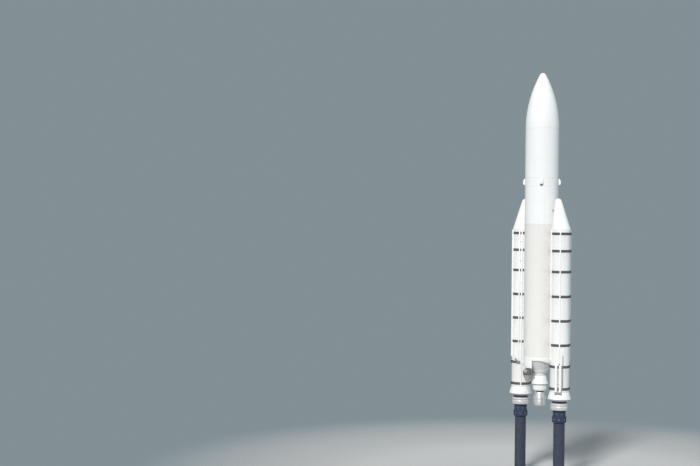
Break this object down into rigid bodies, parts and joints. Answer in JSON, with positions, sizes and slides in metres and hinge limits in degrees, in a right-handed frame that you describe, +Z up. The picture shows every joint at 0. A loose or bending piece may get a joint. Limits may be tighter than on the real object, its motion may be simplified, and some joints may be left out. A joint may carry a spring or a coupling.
{
  "type": "space rocket display model",
  "caption": "Outdoor display model of a heavy launch vehicle with a tall core and side boosters, standing on steel posts with bolted feet.",
  "frame": {"origin": "on the ground, midway between the two feet, under the core's axis", "axes": "+Z up along the core's axis, +X towards the right-hand booster, +Y away from the side with the gas sphere"},
  "size_m": [2.554, 1.1808, 13.04],
  "materials": {
    "white_paint": "satin white exterior paint, lightly weathered",
    "cream_paint": "satin off-white exterior paint",
    "band_paint": "matt anthracite paint",
    "grey_paint": "satin mid-grey paint",
    "light_grey_paint": "satin light-grey paint",
    "dark_paint": "matt near-black paint",
    "silver_metal": "brushed, slightly dulled",
    "blue_paint": "satin dark-blue paint over steel"
  },
  "bodies": {
    "root": {"fairing_nose": "white_paint", "fairing_barrel": "white_paint", "equipment_bay": "white_paint", "upper_stage": "white_paint", "core_upper": "cream_paint", "core_lower": "cream_paint", "core_aft_ring": "white_paint", "pod_1": "white_paint", "pod_2": "white_paint", "pod_3": "white_paint", "pod_4": "white_paint", "thrust_cone": "white_paint", "engine_ring": "white_paint", "engine_flare": "white_paint", "engine_seal": "light_grey_paint", "engine_drum": "white_paint", "engine_neck": "dark_paint", "engine_nozzle": "silver_metal", "actuator_1": "silver_metal", "actuator_2": "silver_metal", "side_hood": "white_paint", "gas_sphere": "grey_paint", "sphere_cradle": "grey_paint", "sphere_line": "light_grey_paint", "booster_right_nose": "white_paint", "booster_right_case": "white_paint", "booster_right_bands": "band_paint", "booster_right_raceway_1": "white_paint", "booster_right_raceway_2": "white_paint", "booster_right_raceway_3": "white_paint", "booster_right_ducts": "white_paint", "booster_right_tubes": "white_paint", "booster_right_feed_pipe": "grey_paint", "booster_right_bracket": "grey_paint", "booster_right_skirt": "white_paint", "booster_right_neck": "grey_paint", "booster_right_nozzle": "light_grey_paint", "booster_right_forward_strut": "light_grey_paint", "booster_right_aft_strut": "grey_paint", "booster_left_nose": "white_paint", "booster_left_case": "white_paint", "booster_left_bands": "band_paint", "booster_left_raceway_1": "white_paint", "booster_left_raceway_2": "white_paint", "booster_left_raceway_3": "white_paint", "booster_left_ducts": "white_paint", "booster_left_tubes": "white_paint", "booster_left_feed_pipe": "grey_paint", "booster_left_bracket": "grey_paint", "booster_left_skirt": "white_paint", "booster_left_neck": "grey_paint", "booster_left_nozzle": "light_grey_paint", "booster_left_forward_strut": "light_grey_paint", "booster_left_aft_strut": "grey_paint", "collar_right": "blue_paint", "collar_left": "blue_paint", "post_right": "blue_paint", "post_left": "blue_paint", "foot_right": "blue_paint", "foot_left": "blue_paint"}
  },
  "joints": []
}
